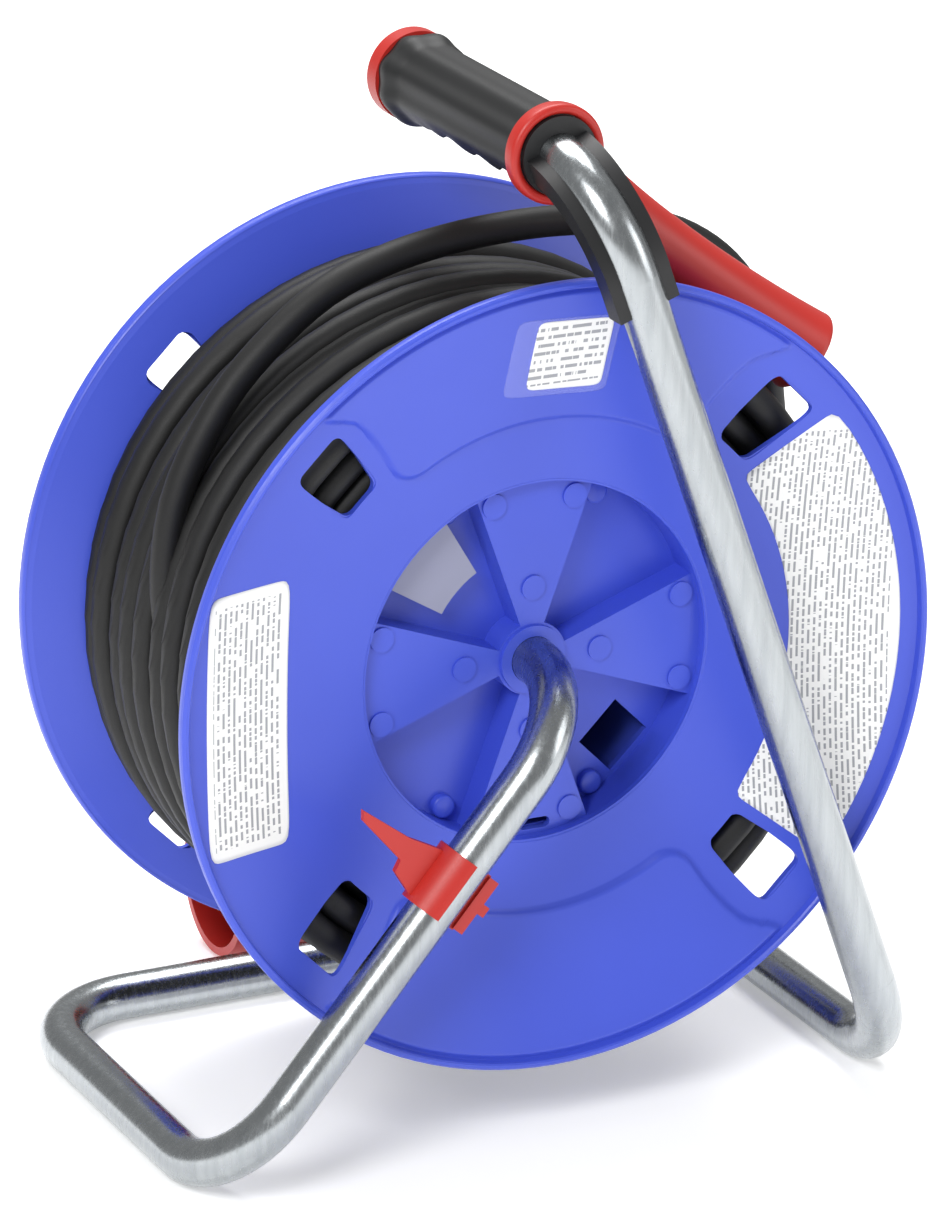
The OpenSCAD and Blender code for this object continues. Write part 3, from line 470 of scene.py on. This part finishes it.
def flange_skin(side):
    """Face of one flange, from the hub recess over the dish to the rolled rim, PROUD of the
    moulded wall. A polar grid in radius and angle carries the dish and the raised fields. Round
    each window it leaves a cell open, and a patch runs from the window's outline out to that
    cell. The side is -1 for the front flange and 1 for the rear one."""
    inner, outer = 0.096, 0.1365    # radii of the open cell's edges
    span = 8.0                      # half the cell's angle, in degrees
    reveal = 0.0022                 # depth of the window's wall
    cells = 33                      # steps from the hub to the cell, and across it
    verts, faces = [], []

    def facing(depth):
        """Depth behind a flange's rim to the drum's y."""
        return depth if side < 0 else DRUM_W - depth

    def point(r, angle):
        """A point of the face, by its radius and its angle in degrees."""
        a = np.radians(angle)
        return world(r * np.cos(a), facing(face_depth(r, angle) - PROUD), r * np.sin(a))

    def lay(points, flip=False):
        """Adds a grid of points to the mesh."""
        base = sum(len(v) for v in verts)
        nu, nv = points.shape[:2]
        verts.append(points.reshape(-1, 3))
        faces.append(grid_faces(nu, nv, base=base, flip=flip != (side > 0)))

    def polar(radii, angles):
        """Adds the face between the given radii and angles."""
        r, a = np.meshgrid(radii, angles, indexing="ij")
        lay(point(r, a))

    def ring(profile):
        """Adds a profile of (radius, depth) rows turned right round the axis."""
        r, depth, a = turned(np.array(profile), np.radians(np.linspace(0, 360, 541)))
        lay(world(r * np.cos(a), facing(depth), r * np.sin(a)))

    rings = np.concatenate([np.linspace(HUB_R, inner, cells + 1),
                            np.linspace(inner, outer, cells + 1)[1:],
                            np.linspace(outer, LIP_R, 12)[1:]])
    t = np.radians(np.linspace(-180, 180, 145))
    c, s = np.cos(t), np.sin(t)
    square = np.maximum(np.abs(c), np.abs(s))
    for mid in (45, 135, 225, 315):
        polar(rings, np.linspace(mid + span, mid + 90 - span, 150))
        behind = np.linspace(mid - span, mid + span, 33)
        polar(rings[:cells + 1], behind)
        polar(rings[2 * cells:], behind)
        # patch from the window's outline to the cell's edge, closer set near the outline
        r_in, a_in = window_outline(t, mid, 0.0001)
        r_out = (inner + outer) / 2 + (outer - inner) / 2 * c / square
        a_out = mid + span * s / square
        u = np.linspace(0, 1, 22)[:, None] ** 1.3
        lay(point(r_in + (r_out - r_in) * u, a_in + (a_out - a_in) * u), True)
        # wall of the window
        edge = point(r_in, a_in)
        back = edge.copy()
        back[:, 1] -= side * reveal
        lay(edge + (back - edge) * np.linspace(0, 1, 5)[:, None, None])
    # lip: rolled over between the dish and the outside of the rim
    ring([(LIP_R, RIM_DEPTH - PROUD), (LIP_R + 0.0002, 0.0018), (LIP_R + 0.0006, 0.0008),
          (LIP_R + 0.0011, 0.0003), (LIP_R + 0.0016, 0.0), (DRUM_R - 0.0007, 0.0002),
          (DRUM_R - 0.0002, 0.0008), (DRUM_R + 0.0001, 0.0016), (DRUM_R + 0.0001, 0.0035),
          (DRUM_R - 0.0002, 0.0046), (DRUM_R - 0.0009, 0.0051)])
    # rounded edge between the dish and the wall of the hub recess
    ring([(HUB_R - 0.0012, HUB_DEPTH + 0.0022), (HUB_R - 0.0011, HUB_DEPTH + 0.0009),
          (HUB_R - 0.0007, HUB_DEPTH + 0.0001), (HUB_R, HUB_DEPTH - PROUD)])
    name = "flange_face_front" if side < 0 else "flange_face_rear"
    piece = quad_mesh(name, np.concatenate(verts), np.concatenate(faces), finish_of("drum_blue"))
    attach(piece, "drum")


def corner_round(power):
    """Points of a filled superellipse of the given power, in 24 rings from its middle."""
    u, v = superellipse(np.linspace(0, 2 * np.pi, 120, endpoint=False), power)
    rho = np.linspace(1e-4, 1, 24)[:, None]
    return rho * u, rho * v


def sticker(name, x, z, lift, material, node):
    """A label that follows the flange's face, lift metres in front of it, with its edge turned
    back to just behind the face."""
    r, angle = np.hypot(x, z), np.degrees(np.arctan2(z, x))
    top = world(x, face_depth(r, angle) - PROUD - lift, z)
    edge = top[-1:].copy()
    edge[..., 1] += lift + 0.0001
    piece = surface(name, np.concatenate([top, edge]), material, "drum", [node], wrap_v=True, flip=True)


def make_labels():
    """Four labels on the front flange. Three of them carry blank grey bars in place of print: a
    data label and a note at the sides, and a small label above. The fourth is a clear film."""
    x0, z0 = AXLE[0] / MM, AXLE[2] / MM
    upright, level = (0, 0, 1), (1, 0, 0)
    u, v = corner_round(14)
    vinyl = printed_vinyl("vinyl_data_label", upright, level, z0 - 44, z0 + 44, 2.3, x0 - 131, x0 - 102)
    sticker("data_label", -0.1165 + 0.0172 * u, 0.00025 + 0.0482 * v, 0.00025, vinyl, "label_left")
    u, v = corner_round(22)
    r, a = 0.1165 + 0.0195 * u, np.radians(38) * v
    vinyl = printed_vinyl("vinyl_note_label", upright, level, z0 - 76, z0 + 76, 2.0, x0 + 70, x0 + 132)
    sticker("note_label", r * np.cos(a), r * np.sin(a), 0.00025, vinyl, "label_right")
    u, v = corner_round(12)
    x, z = 0.001 + 0.02 * u + 0.001 * v, 0.116 + 0.015 * v - 0.001 * u
    sticker("clear_label_film", x, z, 0.00012, finish_of("label_clear"), "label_film")
    vinyl = printed_vinyl("vinyl_small_label", level, upright, x0 - 11, x0 + 17, 3.1, z0 + 105.5, z0 + 128)
    x, z = 0.004 + 0.0145 * u + 0.0007 * v, 0.1165 + 0.0132 * v - 0.0007 * u
    sticker("small_label", x, z, 0.0003, vinyl, "label_top")


def make_screw_covers():
    """Blue covers over the heads of the four drum screws: a profile of a low dome turned round
    each screw."""
    ring_r = 0.062
    dome = np.array([(4.3, 38.6), (4.3, 36.1), (4.0, 35.6), (3.2, 35.3), (0.01, 35.2)]) * MM
    r, depth, a = turned(dome, np.radians(np.linspace(0, 360, 33))[:-1])
    for number, angle in enumerate(np.radians([62, 118, 242, 298])):
        x, z = ring_r * np.cos(angle) + r * np.cos(a), ring_r * np.sin(angle) + r * np.sin(a)
        cover = surface(f"screw_cover_{number + 1}", world(x, depth, z), finish_of("drum_blue"), "drum",
                        wrap_v=True)


# ---------------------------------------------------------------- cable

def winding_path():
    """Centre line of the wound cable, 29.4 m in five layers. In layer k the radius is 74.9 mm
    plus 11.6 k and the line crosses the drum once, to and fro, in about nine and a half turns.
    Slow sums of sines shift the outer turns a little, by the square of k / 4."""
    stand_off = 0.0072      # from a flange's wall to the centre line of the nearest turn
    points, angle = [], 0.0
    for k in range(LAYERS):
        radius = FIRST_LAYER_R + LAYER_PITCH * k
        near = dish_depth(radius) + WALL + stand_off
        far = DRUM_W - near
        t = np.linspace(0, 1, int(TURNS * 60) + 1)[:-1]
        a = angle + t * TURNS * 2 * np.pi
        # no way across at both ends of a layer, next to the flange
        across = np.clip((t * TURNS - 0.25) / (TURNS - 0.9), 0, 1)
        y = near + (far - near) * (across if k % 2 == 0 else 1 - across)
        loose = (k / 4) ** 2
        climb = LAYER_PITCH * step(1 - 0.35 / TURNS, 1.0, t) if k < LAYERS - 1 else 0
        wander = np.sin(a * 0.37 + 1.1) + np.sin(a * 0.61 + 0.4)
        sway = np.sin(a * 0.83 + 0.5) + 0.7 * np.sin(a * 1.31)
        r = radius + climb + loose * 0.0009 * wander - loose * 0.0006
        y = y + loose * 0.0011 * sway * step(0, 0.1, np.minimum(t, 1 - t) * 4)
        r = r + 0.0012 * loose * step(0.2, 1.0, np.sin(a - 1.9))
        points.append(np.stack([r * np.cos(a), y, r * np.sin(a)], -1))
        angle = a[-1] + TURNS * 2 * np.pi / len(t)
    p = np.concatenate(points)
    return world(p[:, 0], p[:, 1], p[:, 2])


def make_winding():
    """The wound cable: one tube of twelve sides along the whole centre line."""
    skin = tube(winding_path(), CABLE_R, 12)
    piece = surface("wound_cable", skin, finish_of("cable_rubber"), "drum", ["cable_winding"], wrap_v=True)


def make_tail():
    """The free end of the cable: one smooth curve through the route's points, drawn as a curve
    object with a round bevel."""
    route = spline_path(np.array(TAIL) * MM, 110)
    route = world(route[:, 0], route[:, 1], route[:, 2])
    line = bpy.data.curves.new("free_cable", "CURVE")
    line.dimensions = "3D"
    line.bevel_depth = CABLE_R
    line.bevel_resolution = 6
    line.use_fill_caps = True
    spline = line.splines.new("POLY")
    spline.points.add(len(route) - 1)
    spline.points.foreach_set("co", np.column_stack([route, np.ones(len(route))]).ravel())
    spline.use_smooth = True
    piece = bpy.data.objects.new("free_cable", line)
    bpy.context.scene.collection.objects.link(piece)
    line.materials.append(finish_of("cable_rubber"))
    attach(piece, "frame")
    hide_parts("cable_tail")


# ---------------------------------------------------------------- handle and guide

def handle_point(radius, y, turn):
    """A point about the handle axis: turn is 0 to the right and 90 degrees upwards."""
    x, z = HANDLE_X + radius * np.cos(turn), HANDLE_Z + radius * np.sin(turn)
    return np.stack(np.broadcast_arrays(x, y, z), -1)


def make_grip():
    """Soft sleeve: radius 14.4 mm, shaped into eight shallow flats by up to 0.5 mm, pinched by
    four finger grooves underneath and flared at the back into a collar. Underneath it ends in a
    scalloped edge, where the radius drops below the red core."""
    low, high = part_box("grip_sleeve")
    start, long = low[1], high[1] - low[1]
    end = long * 1000
    y = np.linspace(0, 1, 200)[:, None]
    turn = np.radians(np.linspace(0, 360, 181))[:-1][None, :]
    mm = y * long * 1000
    fingers = 0.5 + 0.5 * np.cos((mm - 16) / 22 * 2 * np.pi)
    fingers = fingers * step(2, 12, mm) * step(end - 22, end - 34, mm)
    under = step(0.1, 0.95, -np.sin(turn))
    flat = 0.0005 * np.cos(8 * (turn - np.radians(22)))
    radius = 0.0144 + flat * (0.3 + 0.7 * (1 - under)) - 0.0006 * fingers * under
    collar = 0.0024 * step(end - 15, end - 6, mm) ** 1.5
    radius = radius + collar - 0.0012 * step(end - 5, end, mm)
    radius = radius + 0.0003 * step(4, 0, mm)
    # the scalloped edge, as an angle from straight down
    down = np.degrees(np.arccos(np.clip(-np.sin(turn), -1, 1)))
    edge = 24 + 16 * fingers + 3 * np.sin(mm / 9)
    inside = step(edge + 3.5, edge - 2, down) * step(3, 8, mm) * step(end - 16, end - 22, mm)
    radius = radius * (1 - inside) + 0.0119 * inside
    points = handle_point(radius, start + y * long, turn)
    piece = surface("soft_grip_sleeve", points, finish_of("grip_soft"), "frame", ["grip_sleeve"],
                    wrap_v=True)


def make_guide_ring():
    """Front ring with a rounded face: the profile is a half ellipse from the inner radius to
    the outer one, and then the outside of the ring."""
    t = np.linspace(0, np.pi, 15)
    face = np.column_stack([0.01595 - 0.00185 * np.cos(t), GUIDE_Y + 0.0016 - 0.0018 * np.sin(t)])
    outside = [(0.0178, GUIDE_Y + 0.0045), (0.0176, GUIDE_Y + 0.0060)]
    r, y, a = turned(np.vstack([face, outside]), np.radians(np.linspace(0, 360, 145))[:-1])
    piece = surface("guide_front_ring", handle_point(r, y, a), finish_of("accent_red"), "frame",
                    wrap_v=True, flip=True)


def guide_shell():
    """Cable guide: a trough whose cross-section is an arc. Along s from the ring to the mouth the
    arc's radius is 10.5 mm plus 7.3 (1 - s)^4 plus 5 s^3, and it wraps 95 degrees plus 225 s^2.
    The shell has a rounded rim 2.4 mm thick, drawn by a closed cross-section of two arcs."""
    half_wall = 0.0012
    a = np.array([HANDLE_X - AXLE[0] + 0.011, 0.0465, HANDLE_Z - AXLE[2] - 0.012])
    b = np.array([0.111, 0.038, 0.096])
    d = (b - a) / np.linalg.norm(b - a)
    v = np.cross(d, [0.25, -1, 0.3])
    v /= np.linalg.norm(v)
    u = np.cross(v, d)
    s = np.linspace(0, 1, 90)[:, None]
    mid = a + (b - a) * s
    radius = 0.0105 + 0.0073 * (1 - s) ** 4 + 0.005 * s ** 3
    span = np.radians(95 + 225 * s ** 2)
    t = np.linspace(-0.5, 0.5, 46)[None, :]
    lip = 1 - (2 * np.abs(t)) ** 24
    outer = radius - half_wall + half_wall * lip
    inner = radius - half_wall - half_wall * lip
    both_r = np.concatenate([outer, inner[:, ::-1]], 1)
    both_t = np.concatenate([t, t[:, ::-1]], 1) * span
    arc = np.cos(both_t)[..., None] * u + np.sin(both_t)[..., None] * v
    shell = both_r[..., None] * arc
    # round both ends of the shell over towards the middle of its wall
    wall = (radius - half_wall)[..., None] * arc
    mouth = np.stack([mid[-1] + d * 0.0006 + shell[-1] * 0.6 + wall[-1] * 0.4,
                      mid[-1] + d * 0.001 + wall[-1]])
    head = np.stack([mid[0] + wall[0], mid[0] + shell[0] * 0.6 + wall[0] * 0.4])
    points = np.concatenate([head, mid[:, None] + shell, mouth])
    return world(points[..., 0], points[..., 1], points[..., 2])


def make_guide():
    """The red cable guide: its trough, its front ring and the collar that joins them, which is a
    nearly rectangular profile turned through 104 degrees."""
    piece = surface("cable_guide_shell", guide_shell(), finish_of("accent_red"), "frame", ["cable_guide"],
                    wrap_v=True)
    make_guide_ring()
    profile = np.array([(0.0150, 0.004), (0.0178, 0.004), (0.0178, 0.024), (0.0172, 0.0245),
                        (0.0150, 0.0245), (0.0150, 0.004)])
    r, y, a = turned(profile, np.radians(np.linspace(-82, 22, 50)))
    collar = surface("guide_collar", handle_point(r, y + GUIDE_Y, a), finish_of("accent_red"), "frame",
                     flip=True)


# ---------------------------------------------------------------- carried-over parts

def dress_nodes():
    """Gives every carried-over part its own finish, by its slot in the record."""
    slots = {s["node"]: s["material_slot"] for s in frame["record"]["subparts"]}
    for name, node in frame["nodes"].items():
        material = finish_of(slots[name])
        if not node.material_slots:
            node.data.materials.append(None)
        for holder in node.material_slots:
            holder.link = "OBJECT"
            holder.material = material


# ---------------------------------------------------------------- camera and stage

def make_camera(lens, place):
    """The studio camera, at a place 26.25 degrees to the left of the front, looking 19.8 degrees
    down and rolled by 0.73."""
    cam = bpy.data.cameras.new("studio_camera")
    cam.sensor_fit = "HORIZONTAL"
    cam.sensor_width = 36
    cam.lens = lens
    cam.clip_start, cam.clip_end = 0.05, 50
    piece = bpy.data.objects.new("studio_camera", cam)
    bpy.context.scene.collection.objects.link(piece)
    side, down, roll = math.radians(-26.25), math.radians(19.8), math.radians(0.73)
    forward = Vector((-math.sin(side) * math.cos(down), math.cos(side) * math.cos(down), -math.sin(down)))
    level = forward.cross(Vector((0, 0, 1))).normalized()
    upright = level.cross(forward)
    right = level * math.cos(roll) + upright * math.sin(roll)
    up = upright * math.cos(roll) - level * math.sin(roll)
    rows = [(right[i], up[i], -forward[i], place[i]) for i in range(3)]
    piece.matrix_world = Matrix(rows + [(0, 0, 0, 1)])
    bpy.context.scene.camera = piece


def make_light(name, place, aim, size, power):
    """A white rectangular softbox at a place, turned to its aim."""
    lamp = bpy.data.lights.new(name, "AREA")
    lamp.shape = "RECTANGLE"
    lamp.size, lamp.size_y = size
    lamp.energy = power
    piece = bpy.data.objects.new(name, lamp)
    bpy.context.scene.collection.objects.link(piece)
    piece.location = place
    piece.rotation_mode = "QUATERNION"
    piece.rotation_quaternion = (Vector(aim) - Vector(place)).to_track_quat("-Z", "Y")


def make_floor():
    """Level floor, 12 m square and 0.3 mm under the reel: a flat grid of points."""
    x, y = np.meshgrid(np.linspace(-6, 6, 9), np.linspace(-6, 6, 9), indexing="ij")
    points = np.stack([x, y, np.full_like(x, -0.0003)], -1)
    floor = quad_mesh("studio_floor", points.reshape(-1, 3), grid_faces(9, 9), studio_floor())


# ---------------------------------------------------------------- operators

class ReelSizes(bpy.types.PropertyGroup):
    """What the panel lets a user change: the camera's lens and the lights"""
    lens: bpy.props.FloatProperty(
        name="Lens", description="Focal length of the studio camera", default=249.56,
        subtype="DISTANCE_CAMERA")
    key_power: bpy.props.FloatProperty(
        name="Key light", description="Power of the key light", default=37.0, subtype="POWER")
    top_power: bpy.props.FloatProperty(
        name="Top light", description="Power of the top light", default=55.0, subtype="POWER")
    fill_power: bpy.props.FloatProperty(
        name="Fill light", description="Power of the fill light", default=10.0, subtype="POWER")
    sky: bpy.props.FloatProperty(
        name="Sky", description="Brightness of the even surrounding light", default=0.36, min=0.0)


class REEL_OT_camera(bpy.types.Operator):
    """Places the studio camera"""
    bl_idname = "reel.camera"
    bl_label = "Camera"

    def execute(self, context):
        make_camera(context.scene.reel_sizes.lens, (-0.9709, -1.8950 + RIM_Y, 0.9631))
        return {"FINISHED"}


class REEL_OT_free_cable(bpy.types.Operator):
    """Lays the free end of the cable over the drum and down to its plug"""
    bl_idname = "reel.free_cable"
    bl_label = "Free cable"

    def execute(self, context):
        make_tail()
        return {"FINISHED"}


class REEL_OT_winding(bpy.types.Operator):
    """Winds the cable on the drum"""
    bl_idname = "reel.winding"
    bl_label = "Winding"

    def execute(self, context):
        make_winding()
        return {"FINISHED"}


class REEL_OT_flanges(bpy.types.Operator):
    """Moulds the faces of both flanges, with their labels and screw covers"""
    bl_idname = "reel.flanges"
    bl_label = "Flanges"

    def execute(self, context):
        flange_skin(-1)
        flange_skin(1)
        make_labels()
        make_screw_covers()
        return {"FINISHED"}


class REEL_OT_handle(bpy.types.Operator):
    """Makes the soft grip and the cable guide"""
    bl_idname = "reel.handle"
    bl_label = "Grip and guide"

    def execute(self, context):
        make_grip()
        make_guide()
        return {"FINISHED"}


class REEL_OT_finishes(bpy.types.Operator):
    """Gives the carried-over parts their materials"""
    bl_idname = "reel.finishes"
    bl_label = "Finishes"

    def execute(self, context):
        dress_nodes()
        return {"FINISHED"}


class REEL_OT_stage(bpy.types.Operator):
    """Sets the floor and the studio lights"""
    bl_idname = "reel.stage"
    bl_label = "Stage"

    def execute(self, context):
        sizes = context.scene.reel_sizes
        make_floor()
        make_light("key_softbox", (-1.5, -1.3, 1.7), (0, 0, 0.18), (0.9, 0.9), sizes.key_power)
        make_light("fill_softbox", (1.6, -1.3, 0.8), (0, 0, 0.18), (0.9, 1.3), sizes.fill_power)
        make_light("top_softbox", (0.3, 0.9, 2.2), (0, 0.3, 0.1), (1.8, 1.4), sizes.top_power)
        surround = bpy.data.worlds.new("studio_surround")
        surround.use_nodes = True
        shade = surround.node_tree.nodes["Background"]
        shade.inputs["Color"].default_value = colour("#ffffff")
        shade.inputs["Strength"].default_value = sizes.sky
        context.scene.world = surround
        context.scene.view_settings.view_transform = "Standard"
        return {"FINISHED"}


class REEL_PT_panel(bpy.types.Panel):
    """Lists the steps that build the reel"""
    bl_idname = "REEL_PT_panel"
    bl_label = "Cable Reel"
    bl_space_type = "VIEW_3D"
    bl_region_type = "UI"
    bl_category = "Cable Reel"

    def draw(self, context):
        for key in ("lens", "key_power", "fill_power", "top_power", "sky"):
            self.layout.prop(context.scene.reel_sizes, key)
        for step_class in STEPS:
            self.layout.operator(step_class.bl_idname)


STEPS = (REEL_OT_camera, REEL_OT_free_cable, REEL_OT_winding, REEL_OT_flanges, REEL_OT_handle,
         REEL_OT_finishes, REEL_OT_stage)
CLASSES = (ReelSizes,) + STEPS + (REEL_PT_panel,)


def register():
    for item in CLASSES:
        bpy.utils.register_class(item)
    bpy.types.Scene.reel_sizes = bpy.props.PointerProperty(type=ReelSizes)


def unregister():
    del bpy.types.Scene.reel_sizes
    for item in reversed(CLASSES):
        bpy.utils.unregister_class(item)


def main():
    register()
    for step_class in STEPS:
        group, verb = step_class.bl_idname.split(".")
        getattr(getattr(bpy.ops, group), verb)()
    bpy.context.view_layer.update()


if __name__ == "__main__":
    main()
